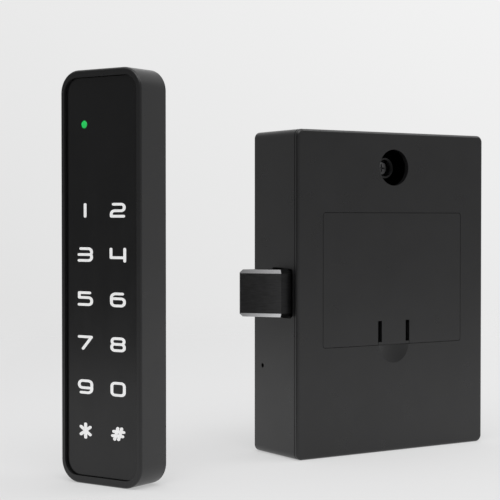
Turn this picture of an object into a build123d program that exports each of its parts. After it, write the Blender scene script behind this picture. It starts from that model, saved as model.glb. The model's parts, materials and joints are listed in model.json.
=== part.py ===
from build123d import *
import os
from math import acos, atan, cos, degrees, pi, radians, sin, tan

# An electronic cabinet lock in two units that stand side by side: a lock body with a sprung latch
# bolt, and a slim touch keypad. Millimetres. Each unit is drawn in a frame of its own, x from its
# left side, y into its depth from its front face and z up from its base. The part's origin is the
# middle of the lock body's base.

# Lock body: outer form
lock_width = 78.0
lock_height = 106.0
lock_depth = 25.4
lock_corner = 2.2
lock_wall = 2.0
back_wall = 2.0
face_round = 1.0
back_bevel = 0.4
parting_depth = 1.5
parting_gap = 0.3
parting_groove = 0.6
lip_height = 1.0
lip_thickness = 1.0
peg_sides = 12
disc_sides = 24
shank_sides = 6
overrun = 1.0

# Clearances
running_gap = 0.05
sliding_gap = 0.12
seat_gap = 0.02
lid_gap = 0.15
part_gap = 0.2

# Battery cells, their door and tray
cell_length = 44.5
cell_radius = 5.2
cell_count = 4
cell_spacing_gap = 0.2
cell_setback = 0.5
nipple_radius = 1.9
nipple_length = 0.9
contact_thickness = 0.5
contact_height = 8.0
cell_spring_length = 3.9
cell_spring_wire = 0.5
cell_spring_base = 3.2
cell_spring_tip = 1.9
cell_spring_turns = 3
coil_steps = 10
wire_sides = 4
tray_wall = 1.2
tray_flange = 0.8
flange_reach = 1.2
door_width = 57.7
door_height = 43.6
door_corner = 0.8
door_thickness = 1.6
door_middle_z = 57.4
door_edge_rest = 0.95
door_rib_height = 0.5
door_rib_width = 0.9
hinge_tab_width = 7.0
hinge_tab_spacing = 36.0
hinge_tab_reach = 1.75
hinge_tab_root = 2.2
hinge_tab_thickness = 0.95
hinge_tab_back = 3.4
tab_swing_room = 0.8
tongue_width = 10.0
tongue_slot = 1.6
tongue_height = 7.9
tongue_foot = 0.9
hook_width = 6.0
hook_drop = 1.0
hook_rise = 0.8
hook_thickness = 1.1
finger_radius = 6.2
finger_depth = 0.8

# Latch bolt, slider and return spring
bolt_height = 15.2
bolt_thickness = 11.3
bolt_front = 3.3
bolt_straight = 4.0
bolt_reach = 12.5
bolt_tip_flat = 0.4
bolt_chamfer = 1.2
bolt_middle_z = 53.4
bolt_travel = 12.0
aperture_side_gap = 0.5
aperture_front_gap = 0.5
aperture_back_gap = 0.35
aperture_corner = 1.4
stop_thickness = 1.8
stop_gap = 0.1
stop_overlap = 0.6
stop_front_lead = 0.3
tang_length = 9.1
tang_thickness = 1.6
slider_front = 16.0
slider_thickness = 2.4
slider_height = 9.0
slider_drop = 1.0
slider_lead = 3.0
slider_screw_pitch = 4.6
return_spring_radius = 2.2
return_spring_wire = 0.5
rod_radius = 0.8
rod_lead = 1.1
rod_below_slider = 3.0
rod_depth = 18.5
guide_left = 26.0
guide_width = 9.0
guide_foot = 5.0
guide_head = 5.6
guide_front = 15.1

# Gear train
gear_module = 0.6
pressure_angle = 25.0
addendum_share = 0.8
dedendum_share = 1.0
backlash = 0.1
flank_steps = 2
output_teeth = 24
wheel_teeth = 30
small_teeth = 12
motor_teeth = 10
output_inset = 19.0
motor_bearing = 217.0
output_face = 2.0
wheel_face = 2.0
gear_front_gap = 0.5
wheel_gap = 0.7
shaft_radius = 0.75
shoulder_radius = 1.1
pin_seat = 0.5
shaft_boss_radius = 2.4
axial_gap = 0.2
motor_width = 12.0
motor_height = 10.0
motor_length = 12.0
motor_round = 1.6
motor_boss_radius = 2.0
motor_boss_height = 0.6
motor_shaft_radius = 0.5
terminal_width = 1.2
terminal_length = 1.6
terminal_thickness = 0.4
terminal_spread = 6.0
gear_plate_thickness = 0.7
gear_plate_front = 15.0
gear_plate_corner = 2.0
pillar_radius = 2.0

# Screws of the lock body
fixing_radius = 1.5
fixing_shank_radius = 1.34
fixing_head_radius = 2.6
fixing_head_height = 2.0
fixing_tip = 9.8
fixing_top_z = 94.3
boss_radius = 3.4
boss_front = 5.0
fixing_seat = 9.0
lower_boss_front = 15.2
fixing_hole_gap = 0.2
access_radius = 6.0
case_screw_radius = 1.25
case_head_radius = 2.25
case_head_height = 1.7
case_screw_inset = 6.0
case_split = 10.2
case_shoulder = 2.0
case_thread = 5.2
cover_pillar_half = 2.6
small_screw_radius = 0.9
small_head_radius = 1.7
small_head_height = 0.8
small_thread = 3.4

# Control board of the lock body
board_left = 3.0
board_width = 38.0
board_bottom = 10.4
board_height = 23.5
board_thickness = 1.0
board_back_gap = 0.5
switch_z = 28.9
switch_depth = 20.2
switch_body_length = 4.0
switch_body_height = 6.0
switch_body_front = 1.8
switch_left = 4.0
plunger_radius = 0.8
plunger_tip = 2.5
plunger_inside = 1.0
plunger_travel = 0.4
pinhole_radius = 0.75
capacitor_radius = 4.0
capacitor_length = 11.5
capacitor_place = (9.5, 17.5)
buzzer_radius = 4.75
buzzer_height = 5.0
buzzer_port = 0.9
buzzer_place = (33.5, 27.4)
chip_size = 8.0
chip_height = 1.6
chip_place = (33.5, 15.8)
board_screws = ((39.2, 21.9), (14.0, 31.0))
socket_width = 12.6
socket_height = 5.8
socket_flange = 1.0
socket_wall = 1.0
socket_recess = 0.6
socket_floor = 1.2
socket_place = (22.0, 15.2)
socket_ways = 6
pin_side = 0.5
pin_length = 3.2

# Keypad unit
pad_width = 30.0
pad_height = 120.5
pad_depth = 12.2
pad_corner = 6.5
pad_face_round = 0.7
pad_back_bevel = 0.5
pad_side_rim = 1.5
pad_end_rim = 2.2
panel_recess = 0.9
panel_thickness = 1.5
panel_corner = 4.4
panel_ledge = 1.2
lamp_radius = 1.15
lamp_crown = 0.25
lamp_x = 8.3
lamp_drop = 15.8
key_left_x = 8.7
key_right_x = 20.95
key_low_z = 15.4
key_pitch = 12.86
key_rows = 6
guide_sheet_thickness = 1.4
guide_sheet_margin = 0.4
pad_board_front = 5.0
pad_board_thickness = 1.0
led_length = 3.0
led_width = 1.4
led_height = 0.7
post_half = 1.8
post_inset_x = 5.0
post_inset_z = 9.0
back_plate_thickness = 1.6
back_plate_rim = 2.4
insert_radius = 2.3
insert_length = 5.0
insert_bore = 1.25
insert_wall = 1.3
insert_bore_depth = 4.5
touch_chip_size = 7.0
touch_chip_rise = 11.0
pad_left_x = -77.8
pad_left_y = 9.8
pad_turn = -66.85

# Places that follow from the sizes above
mid_x = lock_width / 2
plate_back = parting_depth + parting_gap
cavity_back = lock_depth - back_wall
cell_pitch = 2 * cell_radius + cell_spacing_gap
bay_length = 2 * contact_thickness + cell_spring_length + cell_length
bay_height = cell_count * cell_pitch + cell_spacing_gap
bay_right = mid_x + door_width / 2 - door_edge_rest
bay_left = bay_right - bay_length
bay_low = door_middle_z - bay_height / 2
bay_high = door_middle_z + bay_height / 2
cell_axis = plate_back + cell_setback + cell_radius
floor_front = cell_axis + cell_radius + part_gap
tray_back = floor_front + tray_wall
door_left = mid_x - door_width / 2
door_low = door_middle_z - door_height / 2
door_high = door_middle_z + door_height / 2
fixing_low_z = door_middle_z - cell_pitch
fixing_spacing = fixing_top_z - fixing_low_z
bolt_low = bolt_middle_z - bolt_height / 2
bolt_high = bolt_middle_z + bolt_height / 2
bolt_back = bolt_front + bolt_thickness
aperture_half = bolt_height / 2 + aperture_side_gap
stop_left = lock_wall + stop_gap
stop_right = stop_left + stop_thickness
stop_half = aperture_half + stop_overlap
slider_back = slider_front + slider_thickness
slider_high = bolt_high - slider_drop
slider_low = slider_high - slider_height
tang_back = slider_back + tang_thickness
rod_z = slider_low - rod_below_slider
addendum = addendum_share * gear_module
dedendum = dedendum_share * gear_module
tooth_pitch = pi * gear_module
output_radius = gear_module * output_teeth / 2
wheel_radius = gear_module * wheel_teeth / 2
small_radius = gear_module * small_teeth / 2
motor_gear_radius = gear_module * motor_teeth / 2
output_x = lock_width - output_inset
slider_end = output_x + slider_lead
rack_line = slider_low - dedendum
output_z = rack_line - output_radius
wheel_x = output_x
wheel_z = output_z - output_radius - small_radius
motor_x = wheel_x + (wheel_radius + motor_gear_radius) * cos(radians(motor_bearing))
motor_z = wheel_z + (wheel_radius + motor_gear_radius) * sin(radians(motor_bearing))
gear_plate_back = gear_plate_front + gear_plate_thickness
gear_front = gear_plate_back + gear_front_gap
output_back = gear_front + output_face
wheel_front = output_back + wheel_gap
wheel_back = wheel_front + wheel_face
plate_screw_end = gear_plate_back + small_thread
wall_screw_end = lock_depth - back_wall / 2
pin_end = cavity_back + pin_seat
board_back = cavity_back - board_back_gap
board_front = board_back - board_thickness
panel_back = panel_recess + panel_thickness
pad_mid_x = pad_width / 2
pad_mid_z = pad_height / 2
lamp_z = pad_height - lamp_drop
touch_chip_z = pad_mid_z + touch_chip_rise
pad_cavity_inset = pad_end_rim + panel_ledge
pad_board_back = pad_board_front + pad_board_thickness
back_plate_front = pad_depth - back_plate_thickness
lock_place = Pos(-lock_width / 2, -lock_depth / 2, 0)
pad_place = lock_place * Pos(pad_left_x, pad_left_y, 0) * Rot(0, 0, pad_turn)


def depth_prism(sketch, front, back):
    """A sketch drawn in x and z, carried from one depth to another."""
    return extrude(Plane.XZ.offset(-back) * sketch, amount=back - front)


def side_prism(sketch, left, right):
    """A sketch drawn in y and z, carried from one x to another."""
    return extrude(Plane.YZ.offset(left) * sketch, amount=right - left)


def block(x_span, y_span, z_span):
    """A box between the ends of three spans."""
    spans = (x_span, y_span, z_span)
    sizes = [high - low for low, high in spans]
    middle = [(high + low) / 2 for low, high in spans]
    return Pos(*middle) * Box(*sizes)


def around(middle, half):
    """The span that reaches half a width to each side of its middle."""
    return (middle - half, middle + half)


def rod(place, radius, front, back):
    """A round bar that runs into the depth at a place given in x and z."""
    return depth_prism(Pos(*place) * Circle(radius), front, back)


def peg(place, radius, front, back, sides=peg_sides):
    """A many-sided bar into the depth, for hidden pillars, pins and screw shanks."""
    return depth_prism(Pos(*place) * RegularPolygon(radius, sides), front, back)


def disc(place, radius, front, back):
    """A bar into the depth with enough sides to look round, for heads, cans and counterbores."""
    return peg(place, radius, front, back, disc_sides)


def shank(place, radius, front, back):
    """A screw's plain shank, or the hole that takes it."""
    return peg(place, radius, front, back, shank_sides)


def cross_peg(place, radius, left, right):
    """A many-sided bar that runs along x at a place given in y and z."""
    return side_prism(Pos(*place) * RegularPolygon(radius, peg_sides), left, right)


def slab(x_span, z_span, corner, front, back):
    """A rounded rectangle in x and z with a thickness in y."""
    sketch = RectangleRounded(x_span[1] - x_span[0], z_span[1] - z_span[0], corner)
    return depth_prism(Pos(sum(x_span) / 2, sum(z_span) / 2) * sketch, front, back)


def edges_at_depth(solid, depth):
    """The edges that lie wholly at one depth."""
    return solid.edges().filter_by_position(Axis.Y, depth - seat_gap, depth + seat_gap)


def save(node, place, *solids):
    """One file for a node, with its solids set in the part's frame."""
    placed = [place * solid for solid in solids]
    export_step(placed[0] if len(placed) == 1 else Compound(children=placed), f"parts/{node}.step")


def fixing_screw(place, seat):
    """A screw with a cross recess in its head, a reduced shank, and its full thread past the back."""
    head_front = seat - fixing_head_height
    head = disc(place, fixing_head_radius, head_front, seat)
    head = chamfer(edges_at_depth(head, head_front), fixing_head_height / 4)
    arm = fixing_head_radius / 5
    cross = Rectangle(fixing_head_radius, arm) + Rectangle(arm, fixing_head_radius)
    recess = depth_prism(Pos(*place) * cross, head_front - overrun, seat - fixing_head_height / 2)
    thread = rod(place, fixing_radius, lock_depth, lock_depth + fixing_tip)
    return head - recess + peg(place, fixing_shank_radius, seat, lock_depth) + thread


def gear_outline(teeth, first_tooth):
    """A spur gear's outline about its centre, with one tooth's middle at an angle in degrees."""
    pitch_radius = gear_module * teeth / 2
    base_radius = pitch_radius * cos(radians(pressure_angle))
    tip_radius = pitch_radius + addendum
    root_radius = pitch_radius - dedendum
    slant = radians(pressure_angle)
    half_tooth = (tooth_pitch - backlash) / (4 * pitch_radius) + tan(slant) - slant
    start = max(base_radius, root_radius)
    radii = [start + (tip_radius - start) * step / flank_steps for step in range(flank_steps + 1)]
    flank = [] if root_radius >= base_radius else [(root_radius, half_tooth)]
    for radius in radii:
        roll = acos(base_radius / radius)
        flank.append((radius, half_tooth - tan(roll) + roll))
    points = []
    for tooth in range(teeth):
        middle = radians(first_tooth) + 2 * pi * tooth / teeth
        rising = [(radius, middle - half) for radius, half in flank]
        falling = [(radius, middle + half) for radius, half in reversed(flank)]
        points += [(radius * cos(angle), radius * sin(angle)) for radius, angle in rising + falling]
    return make_face(Polyline(*points, close=True))


def rack_tooth(middle_x):
    """One straight-sided tooth that hangs from the slider's lower edge."""
    slant = tan(radians(pressure_angle))
    half_pitch_line = (tooth_pitch - backlash) / 4
    half_root = half_pitch_line + dedendum * slant
    half_tip = half_pitch_line - addendum * slant
    root_z = slider_low + seat_gap
    tip_z = rack_line - addendum
    corners = [(middle_x - half_root, root_z), (middle_x - half_tip, tip_z)]
    corners += [(middle_x + half_tip, tip_z), (middle_x + half_root, root_z)]
    return make_face(Polyline(*corners, close=True))


def coil_points(base_radius, tip_radius, length, turns):
    """The corners of a coned coil that is wound up along z in short straight steps."""
    points = []
    for step in range(turns * coil_steps + 1):
        share = step / (turns * coil_steps)
        radius = base_radius + (tip_radius - base_radius) * share
        angle = 2 * pi * step / coil_steps
        points.append(Vector(radius * cos(angle), radius * sin(angle), length * share))
    return points


def least_gap(points, wire):
    """The least gap between a coil's neighbouring turns."""
    pairs = [(one, other) for index, one in enumerate(points) for other in points[index + coil_steps // 2:]]
    return min((other - one).length for one, other in pairs) - wire


def coil(points, wire):
    """A coil spring's wire along its points."""
    route = Polyline(*points)
    section = Plane(origin=route @ 0, z_dir=route % 0) * RegularPolygon(wire / 2, wire_sides)
    return sweep(section, path=route, transition=Transition.RIGHT)


def lock_outline(inset):
    """The lock body's outline in x and z, drawn in by an inset."""
    width = lock_width - 2 * inset
    height = lock_height - 2 * inset
    return Pos(mid_x, lock_height / 2) * RectangleRounded(width, height, lock_corner - inset)


def inner_outline(inset):
    """The outline of the lock body's inside, with bevelled corners."""
    outline = bevelled(lock_width - 2 * inset, lock_height - 2 * inset, lock_corner - lock_wall)
    return Pos(mid_x, lock_height / 2) * outline


def bevelled(width, height, bevel):
    """A rectangle with its corners cut off."""
    outline = Rectangle(width, height)
    return chamfer(outline.vertices(), bevel)


def case_places():
    """Where the four case screws stand."""
    columns = (case_screw_inset, lock_width - case_screw_inset)
    rows = (case_screw_inset, lock_height - case_screw_inset)
    return [(x, z) for x in columns for z in rows]


def pillar_places():
    """Where the gear plate is screwed down: beside the slider, below it and by the wheel."""
    left = output_x - output_radius - wheel_radius / 2 - pillar_radius
    right = output_x + output_radius + addendum + 2 * pillar_radius
    upper = output_z + pillar_radius / 2
    lower = wheel_z - wheel_radius - pillar_radius
    return [(left, wheel_z + pillar_radius), (right, upper), (right, lower)]


def guide_screw_places():
    """Where the bolt guide is screwed to the back wall."""
    middle = guide_left + guide_width / 2
    low = rod_z - return_spring_radius - guide_foot / 2
    return [(middle, low), (middle, slider_high + sliding_gap + guide_head / 2)]


def flat_screw(place, head_front, reach):
    """A small flat-topped screw."""
    head = peg(place, small_head_radius, head_front, head_front + small_head_height)
    return head + shank(place, small_screw_radius, head_front + small_head_height, reach)


def rear_housing():
    """The tub that carries the works, with its bosses, rails and openings."""
    tub = depth_prism(lock_outline(0), plate_back, lock_depth)
    tub = chamfer(edges_at_depth(tub, lock_depth), back_bevel)
    tub -= depth_prism(inner_outline(lock_wall), plate_back - overrun, cavity_back)
    corner_half = case_screw_inset - lock_wall + seat_gap
    for x, z in case_places():
        tub += block(around(x, corner_half), (case_split, cavity_back + seat_gap), around(z, corner_half))
    tub += rod((mid_x, fixing_top_z), boss_radius, boss_front, cavity_back + seat_gap)
    tub += peg((mid_x, fixing_low_z), boss_radius, lower_boss_front, cavity_back + seat_gap)
    for place in pillar_places():
        tub += peg(place, pillar_radius, gear_plate_back, cavity_back + seat_gap)
    tub += peg((output_x, output_z), shaft_boss_radius, wheel_back + axial_gap, cavity_back + seat_gap)
    tub += peg((wheel_x, wheel_z), shaft_boss_radius, wheel_back + 2 * axial_gap, cavity_back + seat_gap)
    rail_half = slider_height / 6
    rail_x = (output_x - output_radius, lock_width - lock_wall)
    rail_y = (slider_back + sliding_gap, cavity_back + seat_gap)
    tub += block(rail_x, rail_y, around(slider_high - slider_height / 3, rail_half))
    for place in board_screws:
        tub += peg(place, pillar_radius, board_back, cavity_back + seat_gap)

    for place in case_places():
        tub -= shank(place, case_screw_radius + running_gap, case_split - overrun, lock_depth)
        tub -= disc(place, case_head_radius + part_gap, case_split + case_shoulder, lock_depth + overrun)
    for z in (fixing_low_z, fixing_top_z):
        tub -= peg((mid_x, z), fixing_radius + fixing_hole_gap, boss_front - overrun, lock_depth + overrun)
    tub -= rod((mid_x, fixing_top_z), fixing_head_radius + part_gap, boss_front - overrun, fixing_seat)
    thread_radius = small_screw_radius + seat_gap
    for place in pillar_places():
        tub -= shank(place, thread_radius, gear_plate_back - overrun, plate_screw_end + seat_gap)
    for place in (*board_screws, *guide_screw_places()):
        tub -= shank(place, thread_radius, board_back - overrun, wall_screw_end)
    for place in ((output_x, output_z), (wheel_x, wheel_z)):
        tub -= peg(place, shoulder_radius + seat_gap, output_back, pin_end)

    aperture_size = bolt_thickness + aperture_front_gap + aperture_back_gap
    aperture_middle = bolt_front - aperture_front_gap + aperture_size / 2
    aperture = RectangleRounded(aperture_size, 2 * aperture_half, aperture_corner)
    tub -= side_prism(Pos(aperture_middle, bolt_middle_z) * aperture, -overrun, lock_wall + overrun)
    tub -= cross_peg((switch_depth, switch_z), pinhole_radius, -overrun, lock_wall + overrun)
    socket_x_span = around(socket_place[0], socket_width / 2 + part_gap)
    socket_z_span = around(socket_place[1], socket_height / 2 + part_gap)
    return tub - block(socket_x_span, (cavity_back - overrun, lock_depth + overrun), socket_z_span)


def front_cover():
    """The cover plate with its parting groove, locating lip, battery opening and access hole."""
    plate = depth_prism(lock_outline(0), 0, parting_depth)
    plate = fillet(edges_at_depth(plate, 0), face_round)
    plate += depth_prism(lock_outline(parting_groove), parting_depth, plate_back)
    lip_end = plate_back + lip_height
    plate += depth_prism(inner_outline(lock_wall + lid_gap), plate_back, lip_end)
    plate -= depth_prism(inner_outline(lock_wall + lid_gap + lip_thickness), plate_back, lip_end + overrun)
    for x, z in case_places():
        plate += block(around(x, cover_pillar_half), (plate_back, case_split), around(z, cover_pillar_half))
        shoulder = plate_back + case_shoulder
        plate -= shank((x, z), case_screw_radius + seat_gap, shoulder, case_split + overrun)
    plate -= rod((mid_x, fixing_top_z), access_radius, -overrun, plate_back + overrun)
    door_x = around(mid_x, door_width / 2 + lid_gap)
    door_z = around(door_middle_z, door_height / 2 + lid_gap)
    plate -= slab(door_x, door_z, door_corner + lid_gap, -overrun, plate_back + overrun)
    scoop_radius = (finger_radius ** 2 + finger_depth ** 2) / (2 * finger_depth)
    scoop = Pos(mid_x, finger_depth - scoop_radius, door_low) * Sphere(scoop_radius)
    return plate - scoop


def battery_tray():
    """The open box that the four cells lie in, with its flange behind the cover."""
    outer_x = (bay_left - tray_wall, bay_right + tray_wall)
    outer_z = (bay_low - tray_wall, bay_high + tray_wall)
    flange_x = (door_left - flange_reach, door_left + door_width + flange_reach)
    flange_z = (door_low - flange_reach, door_high + flange_reach)
    tray = block(outer_x, (plate_back, tray_back), outer_z)
    tray += block(flange_x, (plate_back, plate_back + tray_flange), flange_z)
    tray -= block((bay_left, bay_right), (plate_back - overrun, floor_front), (bay_low, bay_high))
    room_y = (plate_back - overrun, hinge_tab_back + tab_swing_room)
    tab_room_z = (bay_high - overrun, door_high + 2 * hinge_tab_reach)
    for x in tab_places():
        tray -= block(around(x, hinge_tab_width / 2 + part_gap), room_y, tab_room_z)
    hook_x = around(mid_x, hook_width / 2 + part_gap)
    tray -= block(hook_x, room_y, (door_low - 2 * hook_drop, bay_low + overrun))
    head_hole = fixing_head_radius + 3 * part_gap
    tray -= peg((mid_x, fixing_low_z), head_hole, floor_front - overrun, tray_back + overrun)
    for row in range(1, cell_count):
        ridge_z = bay_low + row * cell_pitch + cell_spacing_gap / 2
        for x in (bay_left + bay_length / 6, bay_right - bay_length / 6):
            ridge = [(-cell_spacing_gap * 6, 0), (0, -cell_radius / 4), (cell_spacing_gap * 6, 0)]
            wedge = make_face(Polyline(*[(floor_front + y, ridge_z + z) for z, y in ridge], close=True))
            tray += side_prism(wedge, x - tray_wall, x + tray_wall)
    return tray


def tab_places():
    """The x of the battery door's two hinge tabs."""
    return (mid_x - hinge_tab_spacing / 2, mid_x + hinge_tab_spacing / 2)


def battery_door():
    """The door plate with its hinge tabs, stiffening ribs and the slots beside its tongue."""
    door = slab((door_left, door_left + door_width), (door_low, door_high), door_corner, 0, door_thickness)
    for x in tab_places():
        tab_x = around(x, hinge_tab_width / 2)
        door += block(tab_x, (door_thickness, hinge_tab_back), (door_high - hinge_tab_root, door_high))
        tab_y = (hinge_tab_back - hinge_tab_thickness, hinge_tab_back)
        door += block(tab_x, tab_y, (door_high, door_high + hinge_tab_reach))
    rib_x = (bay_left + door_rib_width, bay_right - door_rib_width)
    rib_y = (door_thickness, door_thickness + door_rib_height)
    for z in (door_middle_z - cell_pitch / 3, door_middle_z + cell_pitch):
        door += block(rib_x, rib_y, around(z, door_rib_width / 2))
    tongue_x = around(mid_x, tongue_width / 2 + tongue_slot)
    tongue_z = (door_low - overrun, door_low + tongue_height)
    return door - block(tongue_x, (-overrun, door_thickness + overrun), tongue_z)


def battery_door_tongue():
    """The snap tongue in the door's lower edge, with its foot and hook."""
    top = door_low + tongue_height
    tongue = block(around(mid_x, tongue_width / 2), (0, door_thickness), (door_low, top))
    foot_half = tongue_width / 2 + tongue_slot - lid_gap
    tongue += block(around(mid_x, foot_half), (0, door_thickness), (door_low, door_low + tongue_foot))
    hook_x = around(mid_x, hook_width / 2)
    hook_y = (plate_back + lid_gap, plate_back + lid_gap + hook_thickness)
    tongue += block(hook_x, (door_thickness, hook_y[1]), (door_low, door_low + hook_rise))
    return tongue + block(hook_x, hook_y, (door_low - hook_drop, door_low + hook_rise))


def cell_rows():
    """The z of each cell's middle, from the lowest up."""
    return [bay_low + cell_spacing_gap + cell_radius + row * cell_pitch for row in range(cell_count)]


def nipple_at_right(row):
    """Whether a cell's nipple faces right, as neighbours lie the other way round."""
    return row % 2 == 0


def battery_cell(row):
    """One cell lying across the tray, its nipple on a contact and its base on a spring."""
    sleeve = cell_length - nipple_length
    can = RegularPolygon(cell_radius, disc_sides)
    nipple = RegularPolygon(nipple_radius, peg_sides)
    cell = extrude(Pos(0, 0, -sleeve / 2) * can, sleeve)
    cell += extrude(Pos(0, 0, sleeve / 2) * nipple, nipple_length)
    facing = 1 if nipple_at_right(row) else -1
    nipple_end = bay_right - contact_thickness if facing > 0 else bay_left + contact_thickness
    middle_x = nipple_end - facing * (nipple_length + sleeve / 2)
    return Pos(middle_x, cell_axis, cell_rows()[row]) * Rot(0, facing * 90, 0) * cell


def battery_springs():
    """A coned spring behind each cell's flat end."""
    length = cell_spring_length - part_gap - cell_spring_wire
    points = coil_points(cell_spring_base, cell_spring_tip, length, cell_spring_turns)
    print("least gap between turns, mm:", round(least_gap(points, cell_spring_wire), 2))
    wound = Pos(0, 0, cell_spring_wire / 2 + running_gap) * coil(points, cell_spring_wire)
    springs = []
    for row, z in enumerate(cell_rows()):
        facing = 1 if nipple_at_right(row) else -1
        base_x = bay_left + contact_thickness if facing > 0 else bay_right - contact_thickness
        springs.append(Pos(base_x, cell_axis, z) * Rot(0, facing * 90, 0) * wound)
    return springs


def battery_contacts():
    """Contact plates at both ends of the tray that string the cells together."""
    rows = cell_rows()
    depth = around(cell_axis, contact_height / 2)
    left = (bay_left, bay_left + contact_thickness)
    right = (bay_right - contact_thickness, bay_right)
    reach = contact_height / 2
    plates = [(left, rows[0], rows[1]), (left, rows[2], rows[3])]
    plates += [(right, rows[0], rows[0]), (right, rows[1], rows[2]), (right, rows[3], rows[3])]
    return [block(x_span, depth, (low - reach, high + reach)) for x_span, low, high in plates]


def chamfer_cutter(start, end, z, rise):
    """The wedge that bevels the edge between an upright face of the bolt and its top or bottom."""
    run = Vector(*end) - Vector(*start)
    outward = Vector(-run.Y, run.X)
    plane = Plane(origin=(*start, z), x_dir=outward, z_dir=run).offset(-overrun)
    reach = bolt_chamfer + overrun
    corners = [(-reach, rise * overrun), (overrun, -rise * reach), (overrun, rise * overrun)]
    return extrude(plane * make_face(Polyline(*corners, close=True)), amount=run.length + 2 * overrun)


def latch_bolt():
    """The bolt's bevelled head, its stop flange inside the wall and the tang behind it."""
    plan = [(stop_left + stop_thickness / 2, bolt_front), (-bolt_straight, bolt_front)]
    plan += [(-bolt_reach, bolt_back - bolt_tip_flat), (-bolt_reach, bolt_back)]
    plan += [(stop_left + stop_thickness / 2, bolt_back)]
    head = extrude(Plane.XY.offset(bolt_low) * make_face(Polyline(*plan, close=True)), amount=bolt_height)
    for start, end in (plan[0:2], plan[1:3]):
        head -= chamfer_cutter(start, end, bolt_high, 1)
        head -= chamfer_cutter(start, end, bolt_low, -1)
    stop_y = (bolt_front - stop_front_lead, tang_back)
    head += block((stop_left, stop_right), stop_y, around(bolt_middle_z, stop_half))
    tang_x = (stop_right - seat_gap, stop_right + tang_length)
    head += block(tang_x, (slider_back, tang_back), (slider_low, slider_high))
    rod_bore = rod_radius + sliding_gap
    head -= cross_peg((rod_depth, rod_z), rod_bore, stop_left - overrun, stop_right + overrun)
    for place in slider_screw_places():
        head -= shank(place, small_screw_radius + seat_gap, slider_back - overrun, tang_back + overrun)
    return head


def slider_screw_places():
    """Where two screws hold the slider to the bolt's tang."""
    middle = stop_right + tang_length / 2
    z = (slider_low + slider_high) / 2
    return [(middle - slider_screw_pitch / 2, z), (middle + slider_screw_pitch / 2, z)]


def bolt_slider():
    """The flat slider that carries the rack."""
    slider = block((stop_right, slider_end), (slider_front, slider_back), (slider_low, slider_high))
    slider = fillet(slider.edges().filter_by(Axis.Y).sort_by(Axis.X)[-2:], small_screw_radius)
    first = output_x - (bolt_travel + 2 * tooth_pitch)
    count = int((slider_end - tooth_pitch - first) / tooth_pitch) + 1
    for tooth in range(count):
        tooth_x = output_x + tooth_pitch / 2 + (tooth - count + 2) * tooth_pitch
        slider += depth_prism(rack_tooth(tooth_x), slider_front, slider_back)
    for place in slider_screw_places():
        slider -= shank(place, small_screw_radius + seat_gap, slider_front - overrun, slider_back + overrun)
    return slider


def return_spring():
    """The compression spring between the stop flange and the bolt guide, as a plain sleeve."""
    left = stop_right + running_gap
    right = guide_left - running_gap
    outer = RegularPolygon(return_spring_radius, peg_sides)
    sleeve = outer - RegularPolygon(return_spring_radius - return_spring_wire, peg_sides)
    return side_prism(Pos(rod_depth, rod_z) * sleeve, left, right)


def bolt_guide():
    """The block on the back wall that the slider runs through and the spring rests on."""
    right = guide_left + guide_width
    low = rod_z - return_spring_radius - guide_foot
    high = slider_high + guide_head
    guide = block((guide_left, right), (guide_front, cavity_back), (low, high))
    slot_y = (slider_front - sliding_gap, slider_back + sliding_gap)
    slot_z = (slider_low - sliding_gap, slider_high + sliding_gap)
    guide -= block((guide_left - overrun, right + overrun), slot_y, slot_z)
    guide -= cross_peg((rod_depth, rod_z), rod_radius + seat_gap, guide_left - overrun, right + overrun)
    head_end = guide_front + small_head_height
    for place in guide_screw_places():
        guide -= peg(place, small_head_radius + running_gap, guide_front - overrun, head_end)
        guide -= shank(place, small_screw_radius + seat_gap, guide_front, cavity_back + overrun)
    return guide


def output_gear():
    """The gear that drives the rack."""
    gear = depth_prism(gear_outline(output_teeth, 90), gear_front, output_back)
    gear -= rod((0, 0), shaft_radius + running_gap, gear_front - overrun, output_back + overrun)
    return Pos(output_x, 0, output_z) * gear


def reduction_gear():
    """The wheel and small gear in one moulding."""
    small_outline = gear_outline(small_teeth, 90 + 180 / small_teeth)
    small = depth_prism(small_outline, gear_front, wheel_front + seat_gap)
    wheel = depth_prism(gear_outline(wheel_teeth, motor_bearing), wheel_front, wheel_back)
    gear = small + wheel
    gear -= rod((0, 0), shaft_radius + running_gap, gear_front - overrun, wheel_back + overrun)
    return Pos(wheel_x, 0, wheel_z) * gear


def motor_pinion():
    """The pinion on the motor's shaft."""
    first_tooth = motor_bearing + 180 + 180 / motor_teeth
    outline = gear_outline(motor_teeth, first_tooth)
    pinion = depth_prism(outline, wheel_front - part_gap, wheel_back + part_gap)
    pinion -= peg((0, 0), motor_shaft_radius, wheel_front - overrun, wheel_back + overrun)
    return Pos(motor_x, 0, motor_z) * pinion


def motor():
    """The flat-sided motor case with its bearing boss and two terminals."""
    front = gear_plate_front - motor_length
    case_x = around(motor_x, motor_width / 2)
    case = slab(case_x, around(motor_z, motor_height / 2), motor_round, front, gear_plate_front)
    boss_end = gear_plate_front + motor_boss_height
    case += peg((motor_x, motor_z), motor_boss_radius, gear_plate_front, boss_end)
    shaft_room = gear_plate_front - motor_length / 3
    case -= rod((motor_x, motor_z), motor_shaft_radius + running_gap, shaft_room, gear_plate_back + overrun)
    for x in (motor_x - terminal_spread / 2, motor_x + terminal_spread / 2):
        terminal_y = (front + terminal_width, front + 2 * terminal_width)
        terminal_z = (motor_z - motor_height / 2 - terminal_length, motor_z - motor_height / 2 + seat_gap)
        case += block(around(x, terminal_thickness / 2), terminal_y, terminal_z)
    return case


def motor_shaft():
    """The shaft that carries the pinion."""
    start = gear_plate_front - motor_length / 3 + part_gap
    return peg((motor_x, motor_z), motor_shaft_radius, start, wheel_back + 2 * part_gap)


def gear_shaft(place, shoulder_front):
    """A stepped pin between the gear plate and its boss on the back wall."""
    pin = rod(place, shaft_radius, gear_plate_front, shoulder_front)
    return pin + peg(place, shoulder_radius, shoulder_front, pin_end)


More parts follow.
